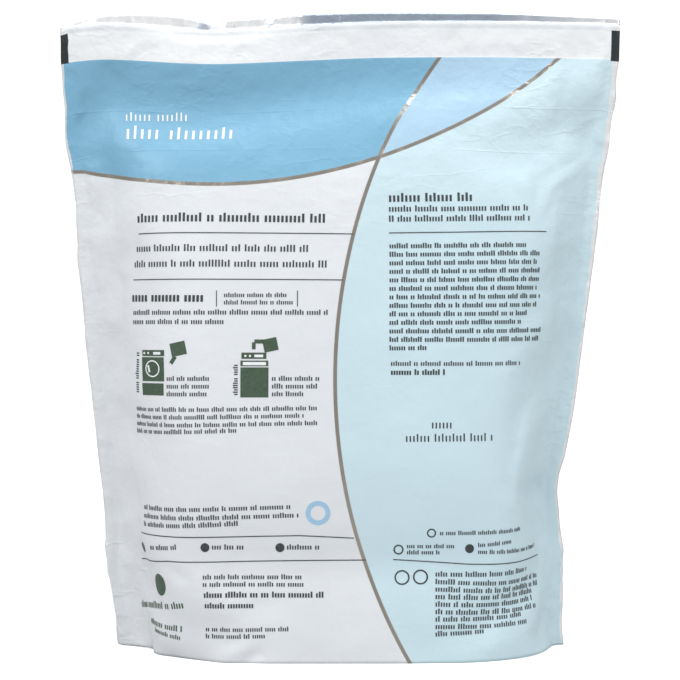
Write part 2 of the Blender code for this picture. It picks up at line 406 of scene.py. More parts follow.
    def run(self, work: Pass) -> None:
        """Let the film settle.

        Args:
            work: How long and how hard.
        """
        before = {sheet: points.copy() for sheet, points in self.sheets.items()}
        push = 1.0
        for count in range(work.count):
            if count % self.push_every == 0:
                missing = self.volume_litres - self.litres()
                push = float(np.clip(missing / self.push_softness, -1, 1))
            forces = {}
            for sheet, points in self.sheets.items():
                deep = np.clip(1 - points[..., 2] / self.fill_height, 0, 1)
                press = push * (self.air_share + (1 - self.air_share) * deep)
                facing = 1 if sheet is Sheet.NEAR else -1
                forces[sheet] = normals(points) * (facing * work.force * press)[..., None]
            for sheet, points in self.sheets.items():
                drift = (points - before[sheet]) * self.damping
                before[sheet][:] = points
                points += drift + forces[sheet]
                points[..., 2] -= self.weight
            for _ in range(self.sweeps):
                for sheet, points in self.sheets.items():
                    self._keep_lattice(points, self.up[sheet], work.long_bend)
                self._join_seals()
                self._touch()
                self._hold()

    def calm(self, passes: int, share: float) -> None:
        """Ease the small buckles, as stiff film with pods behind it does, in place.

        Args:
            passes: How far the easing reaches.
            share: Share of the buckles that is taken away.
        """
        leaf = self.leaf_rows + 1
        near, far, base = self.sheets.values()
        sealed = self.in_side_seal[None, :] | self.in_top_seal[:, None]
        for panel in (near, far):
            panel += share * (eased(panel, sealed, passes) - panel)
            for column in np.flatnonzero(self.in_side_seal):
                line = panel[:, column : column + 1]
                line[..., 1] = eased(line, np.zeros((len(line), 1), bool), passes)[..., 1]
        for panel, gusset in ((near, base), (far, base[::-1])):
            gusset[:leaf][self.bonded] = panel[:leaf][self.bonded]
        held = np.concatenate([self.bonded, self.bonded[-2::-1]]) | self.in_side_seal[None, :]
        base += share * (eased(base, held, passes) - base)

    def crease(self, lines: list[tuple[Crease, np.ndarray]]) -> None:
        """Press creases into the near panel, in place.

        Args:
            lines: Each crease with its points in flat coordinates.
        """
        near = self.sheets[Sheet.NEAR]
        s, t = np.meshgrid(self.s, self.t)
        outward = normals(near)
        total = np.zeros_like(s)
        for crease, flat in lines:
            nearest = np.full_like(s, np.inf)
            height = np.zeros_like(s)
            pieces = np.diff(flat, axis=0)
            lengths = np.hypot(*pieces.T)
            starts = np.concatenate([[0], np.cumsum(lengths)])
            for k, ((s0, t0), (ds, dt)) in enumerate(zip(flat, pieces)):
                along = ((s - s0) * ds + (t - t0) * dt) / lengths[k] ** 2
                along = np.clip(along, 0, 1)
                out_s, out_t = s - s0 - along * ds, t - t0 - along * dt
                away = np.hypot(out_s, out_t)
                right = ds * out_t - dt * out_s < 0
                width = crease.width * np.where(right, crease.lean, 1)
                run = (starts[k] + along * lengths[k]) / starts[-1]
                fade = np.sin(np.pi * np.clip(run, 0.001, 0.999)) ** self.crease_fade
                closer = away < nearest
                height[closer] = (fade * np.exp(-((away / width) ** 2)))[closer]
                nearest[closer] = away[closer]
            total += crease.depth * height
        total[:, self.in_side_seal] = 0
        move = outward * total[..., None]
        near += move
        leaf = self.leaf_rows + 1
        behind = self.sheets[Sheet.BASE][:leaf]
        follows = np.clip(-self.r[:leaf] / self.crease_reach, 0, 1)
        behind += move[:leaf] * follows[:, None, None]
        np.maximum(behind[..., 1], near[:leaf, :, 1], out=behind[..., 1])
        behind[self.bonded] = near[:leaf][self.bonded]

    def finer(self, step: float) -> "Relaxation":
        """The same form on a finer grid.

        Args:
            step: Distance between the new grid's points, in millimetres.

        Returns:
            A relaxation that starts from this one's points.
        """
        fine = Relaxation(self.pattern, self.outline, step)
        for sheet, points in self.sheets.items():
            rows, columns = fine.sheets[sheet].shape[:2]
            v = np.linspace(0, points.shape[0] - 1, rows)
            u = np.linspace(0, points.shape[1] - 1, columns)
            fine.sheets[sheet] = between(points, *np.meshgrid(v, u, indexing="ij"))
        return fine


def normals(points: np.ndarray) -> np.ndarray:
    """Unit normals of a grid of points, by its columns' and rows' directions.

    Args:
        points: Rows of points.

    Returns:
        A normal for each point.
    """
    found = np.cross(np.gradient(points, axis=1), np.gradient(points, axis=0))
    return found / (np.linalg.norm(found, axis=-1, keepdims=True) + 1e-9)


def eased(points: np.ndarray, fixed: np.ndarray, passes: int) -> np.ndarray:
    """A grid's points after each has moved towards its neighbours' middle.

    Args:
        points: Rows of points.
        fixed: Which of them stay.
        passes: How often they move.

    Returns:
        The moved points.
    """
    moved = points.copy()
    free = ~fixed
    for _ in range(passes):
        if moved.shape[1] == 1:
            mean = moved.copy()
            mean[1:-1] = (moved[:-2] + moved[2:]) / 2
        else:
            wide = np.pad(moved, ((1, 1), (1, 1), (0, 0)), "reflect", reflect_type="odd")
            mean = (wide[2:, 1:-1] + wide[:-2, 1:-1] + wide[1:-1, 2:] + wide[1:-1, :-2]) / 4
        moved[free] = mean[free]
    return moved


def between(grid: np.ndarray, row: np.ndarray, column: np.ndarray) -> np.ndarray:
    """Values of a grid at places between its points.

    Args:
        grid: Rows of values.
        row: Places along the rows' index.
        column: Places along the columns' index.

    Returns:
        The values, blended from the four nearest points.
    """
    v = np.clip(row.astype(int), 0, grid.shape[0] - 2)
    u = np.clip(column.astype(int), 0, grid.shape[1] - 2)
    dv, du = (row - v)[..., None], (column - u)[..., None]
    low = grid[v, u] * (1 - du) + grid[v, u + 1] * du
    high = grid[v + 1, u] * (1 - du) + grid[v + 1, u + 1] * du
    return low * (1 - dv) + high * dv


@dataclass
class PhotoCamera:
    """The camera, at the photograph's angle and scale."""

    distance: float = 1.5
    elevation: float = math.radians(6.8)
    frame_pixels: float = 680.0
    metres_a_pixel: float = 0.00045
    floor_pixel: float = 648.0
    sensor: float = 36.0
    lens: float = field(init=False)
    target: np.ndarray = field(init=False)
    back: np.ndarray = field(init=False)
    upward: np.ndarray = field(init=False)
    place: np.ndarray = field(init=False)

    def __post_init__(self) -> None:
        """Work out the lens and the view's directions."""
        self.lens = self.sensor * self.distance / (self.frame_pixels * self.metres_a_pixel)
        height = (self.floor_pixel - self.frame_pixels / 2) * self.metres_a_pixel
        self.target = np.array([0, 0, height / math.cos(self.elevation)])
        self.back = np.array([0, -math.cos(self.elevation), math.sin(self.elevation)])
        self.upward = np.array([0, math.sin(self.elevation), math.cos(self.elevation)])
        self.place = self.target + self.distance * self.back

    def build(self) -> None:
        """Create the camera and make it the scene's."""
        data = bpy.data.cameras.new("photo_camera")
        data.lens = self.lens
        data.sensor_width = self.sensor
        camera = bpy.data.objects.new("photo_camera", data)
        camera.location = self.place
        camera.rotation_euler = Vector(self.back).to_track_quat("Z", "Y").to_euler()
        bpy.context.scene.collection.objects.link(camera)
        bpy.context.scene.camera = camera

    def pixels(self, points: np.ndarray) -> np.ndarray:
        """Where points show in the frame.

        Args:
            points: World points, in metres.

        Returns:
            Their pixels, from the frame's top left corner.
        """
        from_camera = points - self.place
        depth = from_camera @ -self.back
        scale = self.lens / self.sensor * self.frame_pixels
        x = self.frame_pixels / 2 + scale * from_camera[..., 0] / depth
        y = self.frame_pixels / 2 - scale * (from_camera @ self.upward) / depth
        return np.stack([x, y], axis=-1)


class PanelMap:
    """Carries print from the photograph's frame to the near panel's film."""

    smoothing = 8

    def __init__(self, film: Relaxation, camera: PhotoCamera) -> None:
        """Project the panel into the frame.

        Args:
            film: The relaxed film.
            camera: The camera that sees it.
        """
        self.film = film
        self.mm_a_pixel = camera.metres_a_pixel / MM
        self.points = film.sheets[Sheet.NEAR]
        self.normals = normals(self.points)
        smooth = self.points.copy()
        for _ in range(self.smoothing):
            smooth[1:-1] = (smooth[:-2] + 2 * smooth[1:-1] + smooth[2:]) / 4
            smooth[:, 1:-1] = (smooth[:, :-2] + 2 * smooth[:, 1:-1] + smooth[:, 2:]) / 4
        self.seen = camera.pixels(smooth * MM)

    def flat_place(self, x: float, y: float) -> np.ndarray:
        """Flat coordinates of what shows at a pixel.

        Args:
            x: Pixel across.
            y: Pixel down.

        Returns:
            Place across and up the flat panel, in millimetres.
        """
        target = np.array([x, y])
        away = np.linalg.norm(self.seen - target, axis=-1)
        row, column = np.unravel_index(np.argmin(away), away.shape)
        at = np.array([float(row), float(column)])
        for _ in range(6):
            here = between(self.seen, *at)
            turn = np.stack([
                between(self.seen, *(at + step)) - between(self.seen, *(at - step))
                for step in np.eye(2) * 0.5
            ])
            at += np.clip(np.linalg.solve(turn.T, target - here), -2, 2)
        spacing = self.film.up[Sheet.NEAR], self.film.across
        return np.array([at[1] * spacing[1] - self.film.pattern.width / 2, at[0] * spacing[0]])

    def on_film(self, s: np.ndarray, t: np.ndarray, lift: float) -> np.ndarray:
        """World points of flat places, just off the film.

        Args:
            s: Places across the flat panel, in millimetres.
            t: Places up it.
            lift: Height above the film's middle, in millimetres.

        Returns:
            The points, in metres.
        """
        column = (s + self.film.pattern.width / 2) / self.film.across
        row = t / self.film.up[Sheet.NEAR]
        point = between(self.points, row, column)
        outward = between(self.normals, row, column)
        return (point + outward * lift) * MM


def link(name: str, mesh: bpy.types.Mesh, materials: list[bpy.types.Material]) -> bpy.types.Object:
    """Make a smooth object of a mesh, with its materials.

    Args:
        name: The piece's name.
        mesh: Its mesh.
        materials: Its materials, in slot order.

    Returns:
        The object, in the scene.
    """
    piece = bpy.data.objects.new(name, mesh)
    for material in materials:
        mesh.materials.append(material)
    mesh.shade_smooth()
    bpy.context.scene.collection.objects.link(piece)
    return piece


class FilmSkin:
    """The closed skin of film, built from the relaxed sheets."""

    lip_rows = 4
    lip_height = 4.0
    calm_lip_from = -15.0

    def __init__(self, film: Relaxation) -> None:
        """Take the relaxed sheets.

        Args:
            film: The relaxed film.
        """
        self.film = film
        self.bm = bmesh.new()
        self.flat = self.bm.verts.layers.float_vector.new("film")

    def _grid(self, points: np.ndarray, s: np.ndarray, t: np.ndarray, sheet: Sheet) -> list[list]:
        """Add one sheet as a grid of faces.

        Args:
            points: Its points in rows, in millimetres.
            s: Flat places of its columns.
            t: Flat places of its rows.
            sheet: Which sheet it is.

        Returns:
            Its vertices, in rows.
        """
        rows, columns = points.shape[:2]
        made = bmesh.ops.create_grid(
            self.bm, x_segments=columns - 1, y_segments=rows - 1, size=1
        )["verts"]
        flat_s, flat_t = np.meshgrid(s, t)
        places = zip((points * MM).reshape(-1, 3), flat_s.ravel(), flat_t.ravel())
        for vert, (point, across, up) in zip(made, places):
            vert.co = point
            vert[self.flat] = (across, up, float(sheet))
        return [made[row * columns : (row + 1) * columns] for row in range(rows)]

    def _stitch(self, first: list, second: list) -> None:
        """Add faces between two lines of as many vertices.

        Args:
            first: One line.
            second: The other.
        """
        for a, b, c, d in zip(first, first[1:], second[1:], second):
            self.bm.faces.new((a, b, c, d))

    def _lip_points(self, far: np.ndarray) -> np.ndarray:
        """The far panel's strip that stands above the near one's top edge.

        Args:
            far: Points of the far panel.

        Returns:
            Rows of points, from the near panel's top edge up.
        """
        x = far[-1, :, 0]
        height = np.interp(x, *zip(*self.film.outline.lip))
        crumple = 0.5 * np.sin(x * 0.55) + 0.35 * np.sin(x * 1.3 + 1) + 0.3 * np.sin(x * 0.23 + 2)
        flatter = np.where(x < self.calm_lip_from, 1.0, 0.25)
        rows = []
        for share in np.linspace(0, 1, self.lip_rows + 1):
            bend = crumple * flatter * share * (1.2 - 0.4 * share) + 0.5 * share
            rows.append(far[-1] + np.stack([0 * x, bend, height * share], axis=-1))
        return np.array(rows)

    def build(self, materials: list[bpy.types.Material]) -> bpy.types.Object:
        """Make the skin.

        Args:
            materials: The printed film's and the foil's.

        Returns:
            The piece.
        """
        film, wall = self.film, self.film.pattern.wall
        near, far, base = film.sheets.values()
        outer_near = near + normals(near) * wall
        lip = self._lip_points(far)
        outer_far = np.concatenate([far, lip[1:]])
        outer_far = outer_far - normals(outer_far) * wall
        lip_t = film.t[-1] + np.linspace(0, self.lip_height, self.lip_rows + 1)
        inner = np.flatnonzero(~film.in_side_seal)
        first, last = inner[0] - 1, inner[-1] + 1
        near_rows = self._grid(outer_near, film.s, film.t, Sheet.NEAR)
        far_t = np.concatenate([film.t, lip_t[1:]])
        far_rows = self._grid(outer_far, film.s, far_t, Sheet.FAR)
        lip_rows = self._grid(lip, film.s, lip_t, Sheet.LIP)
        base_rows = self._grid(
            base[:, first : last + 1], film.s[first : last + 1], film.r, Sheet.BASE
        )
        lip_faces = {face for row in lip_rows for vert in row for face in vert.link_faces}
        self._stitch(near_rows[0][first : last + 1], base_rows[0])
        self._stitch(far_rows[0][first : last + 1], base_rows[-1])
        self._stitch(near_rows[0][: first + 1], far_rows[0][: first + 1])
        self._stitch(near_rows[0][last:], far_rows[0][last:])
        self._stitch(near_rows[-1], lip_rows[0])
        self._stitch(lip_rows[-1], far_rows[-1])
        body = len(near_rows)
        for end in (0, -1):
            self._stitch([row[end] for row in near_rows], [row[end] for row in far_rows[:body]])
            strip = [row[end] for row in lip_rows]
            self._stitch(strip, [row[end] for row in far_rows[body - 1 :]])
            self.bm.faces.new((near_rows[-1][end], strip[0], far_rows[body - 1][end]))
        for face in lip_faces:
            face.material_index = Skin.FOIL
        for end, column in ((0, first), (-1, last)):
            fold = [row[end] for row in base_rows]
            pairs = {fold[-1 - k]: fold[k] for k in range(len(fold) // 2)}
            bmesh.ops.weld_verts(self.bm, targetmap=pairs)
            self.bm.faces.new((near_rows[0][column], far_rows[0][column], fold[0]))
        bmesh.ops.recalc_face_normals(self.bm, faces=self.bm.faces)
        mesh = bpy.data.meshes.new("pouch_film")
        self.bm.to_mesh(mesh)
        self.bm.free()
        return link("pouch_film", mesh, materials)


class Graph:
    """A material's nodes, with short hands for the sums its pattern needs."""

    def __init__(self, name: str) -> None:
        """Start a material with one Principled shader.

        Args:
            name: The material's name.
        """
        self.material = bpy.data.materials.new(name)
        self.material.use_nodes = True
        self.nodes = self.material.node_tree.nodes
        self.links = self.material.node_tree.links
        self.shader = self.nodes["Principled BSDF"]

    def set(self, **inputs: object) -> None:
        """Set or link the shader's inputs, named with underscores for spaces.

        Args:
            inputs: A value or a socket for each.
        """
        for name, value in inputs.items():
            self._join(value, self.shader.inputs[name.replace("_", " ")])

    def _join(self, value: object, socket: bpy.types.NodeSocket) -> None:
        """Give a socket its value or its link.

        Args:
            value: A value or another node's socket.
            socket: The input.
        """
        if isinstance(value, bpy.types.NodeSocket):
            self.links.new(value, socket)
        else:
            socket.default_value = value

    def add(self, kind: str, output: int, inputs: dict, **settings: object) -> bpy.types.NodeSocket:
        """Add a node.

        Args:
            kind: Its type.
            output: The index of the output wanted.
            inputs: Values or sockets by input name or index.
            settings: The node's own settings.

        Returns:
            The output socket.
        """
        node = self.nodes.new(kind)
        for name, value in settings.items():
            setattr(node, name, value)
        for key, value in inputs.items():
            self._join(value, node.inputs[key])
        return node.outputs[output]

    def sum(self, operation: str, *values: object) -> bpy.types.NodeSocket:
        """A Math node's result.

        Args:
            operation: The node's operation.
            values: Its values or sockets.

        Returns:
            The result's socket.
        """
        return self.add("ShaderNodeMath", 0, dict(enumerate(values)), operation=operation)

    def film_place(self) -> tuple[bpy.types.NodeSocket, ...]:
        """Places across and up the flat film, and the sheet's number."""
        flat = self.add("ShaderNodeAttribute", 1, {}, attribute_name="film")
        return tuple(self.add("ShaderNodeSeparateXYZ", k, {0: flat}) for k in range(3))

    def object_place(self) -> bpy.types.NodeSocket:
        """Object coordinates."""
        return self.add("ShaderNodeTexCoord", 3, {})

    def rise(self, value: object, low: float, high: float, top: float = 1.0,
             base: float = 0.0) -> bpy.types.NodeSocket:
        """Base below low and top above high, even between.

        Args:
            value: The socket that is measured.
            low: Where the rise starts.
            high: Where it ends, which may be below low.
            top: What it rises to.
            base: What it rises from.

        Returns:
            The result's socket.
        """
        limits = {"Value": value, "From Min": low, "From Max": high, "To Min": base, "To Max": top}
        return self.add("ShaderNodeMapRange", 0, limits)

    def inside(self, value: object, low: object, high: object, soft: float) -> bpy.types.NodeSocket:
        """One between low and high and nothing outside, with soft edges.

        Args:
            value: The socket that is measured.
            low: Lower edge, a value or a socket.
            high: Upper edge, a value or a socket.
            soft: Width of each edge.

        Returns:
            The result's socket.
        """
        above = self.rise(self.sum("SUBTRACT", value, low), 0.0, soft)
        below = self.rise(self.sum("SUBTRACT", high, value), 0.0, soft)
        return self.sum("MULTIPLY", above, below)

    def mix(self, share: object, first: object, second: object) -> bpy.types.NodeSocket:
        """Blend two colours.

        Args:
            share: Share of the second.
            first: A colour or a socket.
            second: A colour or a socket.

        Returns:
            The blended colour's socket.
        """
        colours = {0: share}
        for key, colour in ((6, first), (7, second)):
            colours[key] = (*colour, 1.0) if isinstance(colour, tuple) else colour
        return self.add("ShaderNodeMix", 2, colours, data_type="RGBA")

    def noise(self, vector: object, scale: float, detail: float, rough: float = 0.5,
              kind: str = "FBM") -> bpy.types.NodeSocket:
        """A noise texture's value.

        Args:
            vector: Where it is read.
            scale: Its scale.
            detail: Its octaves.
            rough: How strong the finer octaves are.
            kind: The kind of noise.

        Returns:
            The value's socket.
        """
        inputs = {"Vector": vector, "Scale": scale, "Detail": detail, "Roughness": rough}
        return self.add("ShaderNodeTexNoise", 0, inputs, noise_type=kind)


def linear(red: int, green: int, blue: int) -> Colour:
    """The linear colour of one given as on a screen, from 0 to 255."""
    shares = (channel / 255 for channel in (red, green, blue))
    return tuple(c / 12.92 if c <= 0.04045 else ((c + 0.055) / 1.055) ** 2.4 for c in shares)


@dataclass(frozen=True)
class Arc:
    """A printed circle's arc in flat coordinates, in millimetres."""

    s: float
    t: float
    radius: float

    @classmethod
    def through(cls, flat: np.ndarray) -> "Arc":
        """The arc that runs nearest to some places.

        Args:
            flat: Flat coordinates, a row for each place.

        Returns:
            The arc of least squares.
        """
        sums = np.column_stack([2 * flat, np.ones(len(flat))])
        s, t, rest = np.linalg.lstsq(sums, (flat**2).sum(axis=1), rcond=None)[0]
        return cls(float(s), float(t), math.sqrt(rest + s * s + t * t))


@dataclass(frozen=True)
class FilmFinish:
    """Colours and sizes of the print and the film's surface."""

    sweep: Arc
    divide: Arc
    line_width: float = 1.7
    mid_blue: Colour = linear(130, 183, 212)
    light_blue: Colour = linear(177, 211, 234)
    pale_blue: Colour = linear(207, 230, 239)
    grey_white: Colour = linear(229, 233, 237)
    header_white: Colour = linear(243, 246, 249)
    header_band: Colour = linear(230, 234, 238)
    margin_silver: Colour = linear(238, 240, 242)
    gusset_blue: Colour = linear(206, 226, 234)
    bronze: Colour = linear(176, 169, 159)
    black: Colour = linear(46, 52, 55)
    roughness: float = 0.4
    unevenness: float = 0.12
    line_gloss: float = 0.1
    margin_metal: float = 0.3
    tones: tuple[float, float] = (0.972, 1.02)
    soft_edge: float = 0.25
    band_height: float = 3.2
    overrun: float = 9.0
    eye_mark_widths: tuple[float, float] = (3.7, 4.0)
    eye_mark_feet: tuple[float, float] = (16.3, 16.7)
    eye_mark_top: float = 2.6
    zip_lines: tuple[float, float] = (231.0, 252.0)
    crinkle_relief: float = 0.0013
    soft_relief: float = 0.0026
    even_relief: float = 0.0005
    fold_relief: float = 0.0002
    zip_relief: float = 0.00012
    seal_relief: float = 0.00018

    def build(self, pattern: FlatPattern) -> bpy.types.Material:
        """Make the printed film's material.

        Args:
            pattern: The flat pattern that the print is laid out on.

        Returns:
            The material.
        """
        graph = Graph("printed_film")
        s, t, sheet = graph.film_place()
        objective = graph.object_place()
        above = self._inside_arc(graph, self.sweep, s, t)
        right = self._inside_arc(graph, self.divide, s, t)
        on_right = graph.rise(right, 0.0, self.soft_edge)
        upper = graph.mix(on_right, self.mid_blue, self.light_blue)
        lower = graph.mix(on_right, self.grey_white, self.pale_blue)
        colour = graph.mix(graph.rise(above, 0.0, self.soft_edge), lower, upper)
        line = graph.sum("MAXIMUM", self._line(graph, above), self._line(graph, right))
        seal = pattern.height - pattern.top_seal
        header = graph.rise(t, seal, seal + self.soft_edge)
        line = graph.sum("MULTIPLY", line, graph.sum("SUBTRACT", 1.0, header))
        panel = graph.rise(sheet, Sheet.FAR + 0.6, Sheet.FAR + 0.4)
        line = graph.sum("MULTIPLY", line, panel)
        colour = graph.mix(graph.sum("SUBTRACT", 1.0, panel), colour, self.gusset_blue)
        band_foot = pattern.height - self.band_height
        band = graph.inside(t, band_foot, pattern.height + self.overrun, 0.6)
        head = graph.mix(band, self.header_white, self.header_band)
        colour = graph.mix(graph.sum("MULTIPLY", header, panel), colour, head)
        darkest, brightest = self.tones
        tone = graph.rise(graph.noise(objective, 22.0, 3.0), 0.3, 0.7, brightest, darkest)
        colour = graph.add("ShaderNodeVectorMath", 0, {0: colour, "Scale": tone}, operation="SCALE")
        colour = graph.mix(line, colour, self.bronze)
        margin = self._margin(graph, pattern, s, t, objective)
        colour = graph.mix(margin, colour, self.margin_silver)
        marks = self._eye_marks(graph, pattern, s, t)
        colour = graph.mix(marks, colour, self.black)
        metal = graph.sum("MAXIMUM", line, graph.sum("MULTIPLY", margin, self.margin_metal))
        metal = graph.sum("MULTIPLY", metal, graph.sum("SUBTRACT", 1.0, marks))
        graph.set(Base_Color=colour, Metallic=metal, Coat_Weight=0.05, Coat_Roughness=0.26)
        graph.set(Specular_IOR_Level=0.32)
        uneven = graph.rise(graph.noise(objective, 60.0, 2.0), 0.2, 0.8, self.unevenness)
        rough = graph.sum("ADD", uneven, self.roughness - self.unevenness / 2)
        smoother = graph.sum("MULTIPLY", line, self.line_gloss)
        graph.set(Roughness=graph.sum("SUBTRACT", rough, smoother))
        graph.set(Normal=self._relief(graph, pattern, s, t, objective))
        return graph.material

    def _inside_arc(self, graph: Graph, arc: Arc, s: object, t: object) -> bpy.types.NodeSocket:
        """How far inside an arc's circle a place is, in millimetres.

        Args:
            graph: The graph to add to.
            arc: The arc.
            s: Flat place across.
            t: Flat place up.

        Returns:
            The distance's socket, negative outside.
        """
        across = graph.sum("SUBTRACT", s, arc.s)
        up = graph.sum("SUBTRACT", t, arc.t)
        square = graph.sum("MULTIPLY_ADD", across, across, graph.sum("MULTIPLY", up, up))
        return graph.sum("SUBTRACT", arc.radius, graph.sum("SQRT", square))

    def _line(self, graph: Graph, distance: object) -> bpy.types.NodeSocket:
        """The metallic line along an arc.

        Args:
            graph: The graph to add to.
            distance: Distance inside the arc.

        Returns:
            One on the line and nothing off it.
        """
        half = self.line_width / 2
        return graph.rise(graph.sum("ABSOLUTE", distance), half + 0.12, half - 0.12)

    def _margin(self, graph: Graph, pattern: FlatPattern, s: object, t: object,
                objective: object) -> bpy.types.NodeSocket:
        """The bare strips of foil along the side edges.

        Args:
            graph: The graph to add to.
            pattern: The flat pattern.
            s: Flat place across.
            t: Flat place up.
            objective: Object coordinates, for an uneven edge.

        Returns:
            One on the strips and nothing off them.
        """
        ragged = graph.rise(graph.noise(objective, 160.0, 2.0), 0.3, 0.7, 1.4)
        wider = graph.rise(t, 150.0, 262.0, 1.6)
        right = graph.sum("ADD", graph.sum("ADD", ragged, wider), 0.7)
        left = graph.sum("ADD", graph.sum("MULTIPLY", ragged, 0.5), 0.8)
        half = pattern.width / 2
        on_right = graph.rise(graph.sum("ADD", s, right), half, half + 0.3)
        on_left = graph.rise(graph.sum("SUBTRACT", left, s), half, half + 0.3)
        return graph.sum("MAXIMUM", on_right, on_left)

    def _eye_marks(self, graph: Graph, pattern: FlatPattern, s: object,
                   t: object) -> bpy.types.NodeSocket:
        """The black registration blocks at both ends of the top seal.

        Args:
            graph: The graph to add to.
            pattern: The flat pattern.
            s: Flat place across.
            t: Flat place up.

        Returns:
            One on the blocks and nothing off them.
        """
        half, top = pattern.width / 2, pattern.height
        left_width, right_width = self.eye_mark_widths
        columns = ((-half - self.overrun, left_width - half), (half - right_width, half + self.overrun))
        left, right = (
            graph.sum("MULTIPLY", graph.inside(s, start, end, 0.2),
                      graph.inside(t, top - foot, top - self.eye_mark_top, 0.2))
            for (start, end), foot in zip(columns, self.eye_mark_feet)
        )
        return graph.sum("MAXIMUM", left, right)

    def _relief(self, graph: Graph, pattern: FlatPattern, s: object, t: object,
                objective: object) -> bpy.types.NodeSocket:
        """Fine relief of the film: crinkles, the zip's ridges and the seal's edge.

        Args:
            graph: The graph to add to.
            pattern: The flat pattern.
            s: Flat place across.
            t: Flat place up.
            objective: Object coordinates.

        Returns:
            The normal's socket.
        """
        soft = graph.noise(objective, 38.0, 4.0, 0.55)
        sharp = graph.noise(objective, 90.0, 5.0, 0.6, "RIDGED_MULTIFRACTAL")
        outer = graph.rise(graph.sum("ABSOLUTE", s), 70.0, 120.0, 0.8)
        upper = graph.rise(t, 185.0, 265.0, 0.7)
        where = graph.sum("ADD", graph.sum("MAXIMUM", outer, upper), 0.14)
        crinkles = graph.sum("MULTIPLY", graph.sum("MULTIPLY", sharp, where), self.crinkle_relief)
        dents = graph.sum("MULTIPLY", soft, where)
        height = graph.sum("MULTIPLY_ADD", dents, self.soft_relief, crinkles)
        height = graph.sum("MULTIPLY_ADD", soft, self.even_relief, height)
        flattened = graph.add("ShaderNodeVectorMath", 0, {0: objective, 1: (1.0, 1.0, 2.2)},
                              operation="MULTIPLY")
        away = graph.sum("ABSOLUTE", graph.sum("SUBTRACT", graph.noise(flattened, 34.0, 3.0), 0.5))
        there = graph.rise(graph.noise(objective, 26.0, 1.0), 0.46, 0.6)
        folds = graph.sum("MULTIPLY", graph.rise(away, 0.035, 0.0, self.fold_relief), there)
        height = graph.sum("MULTIPLY_ADD", folds, where, height)
        patchy = graph.rise(graph.noise(objective, 30.0, 1.0), 0.42, 0.62, self.zip_relief)
        for line in self.zip_lines:
            ridge = graph.inside(t, line - 0.5, line + 0.5, 0.45)
            height = graph.sum("MULTIPLY_ADD", ridge, patchy, height)
        seal = pattern.height - pattern.top_seal
        step = graph.rise(t, seal - 0.6, seal + 0.6, -self.seal_relief)
        height = graph.sum("ADD", height, step)
        return graph.add("ShaderNodeBump", 0, {"Height": height, "Distance": 1.0, "Strength": 1.0})


@dataclass(frozen=True)
class FoilFinish:
    """The bare metallised inner face, which shows along the top; its colour carries painted shade, over
    its middle and in its creases.
    """

    # Painted shade: the grey-blue look of the foil where it lies in shade.
    shade: Colour = linear(168, 179, 195)
    # The bright foil, where no shade is painted.
    bright: Colour = linear(244, 246, 248)

    def build(self) -> bpy.types.Material:
        """Make the foil's material.

        Returns:
            The material.
        """
        graph = Graph("foil")
        s = graph.film_place()[0]
        objective = graph.object_place()
        crushed = graph.noise(objective, 140.0, 3.0, 0.6)
        # Painted crease shade: sparse dark marks in the shade colour where the crumpled foil's creases
        # lie in shade.
        painted_crease_shade = graph.rise(crushed, 0.56, 0.66)
        # Painted shade over the lip's middle and right, fading out towards its right end; the metal is
        # raised there too.
        plain = graph.rise(s, -22.0, -12.0)
        share = graph.sum("MULTIPLY", plain, graph.rise(s, 118.0, 70.0, 1.0))
        # Colour: bright foil, with painted shade over the middle and right, and painted crease shade
        # over the crumpled rest.
        colour = graph.mix(graph.sum("MAXIMUM", share, graph.sum("MULTIPLY", painted_crease_shade, 0.8)),
                           self.bright, self.shade)
        metal = graph.sum("MULTIPLY_ADD", plain, 0.4, 0.35)
        graph.set(Base_Color=colour, Metallic=metal, Roughness=0.34)
        height = graph.sum("MULTIPLY", crushed, 0.0008)
        graph.set(Normal=graph.add("ShaderNodeBump", 0, {"Height": height, "Distance": 1.0}))
        return graph.material


@dataclass(frozen=True)
class InkFinish:
    """A plain printing ink."""

    name: str
    colour: Colour
    roughness: float = 0.42

    def build(self) -> bpy.types.Material:
        """Make the ink's material.

        Returns:
            The material.
        """
        graph = Graph(self.name)
        worn = graph.rise(graph.noise(graph.object_place(), 900.0, 2.0), 0.3, 0.8, 0.14)
        pale = tuple(min(1.0, channel + 0.25) for channel in self.colour)
        graph.set(Base_Color=graph.mix(worn, self.colour, pale), Roughness=self.roughness)
        return graph.material


@dataclass(frozen=True)
class Softbox:
    """An area light."""

    name: str
    place: tuple[float, float, float]
    size: float
    watts: float

    def build(self) -> None:
        """Create the light, turned towards the pouch."""
        data = bpy.data.lights.new(self.name, "AREA")
        data.shape = "SQUARE"
        data.size = self.size
        data.energy = self.watts
        light = bpy.data.objects.new(self.name, data)
        light.location = self.place
        towards = Vector((0, 0, 0.14)) - Vector(self.place)
        light.rotation_euler = towards.to_track_quat("-Z", "Y").to_euler()
        bpy.context.scene.collection.objects.link(light)


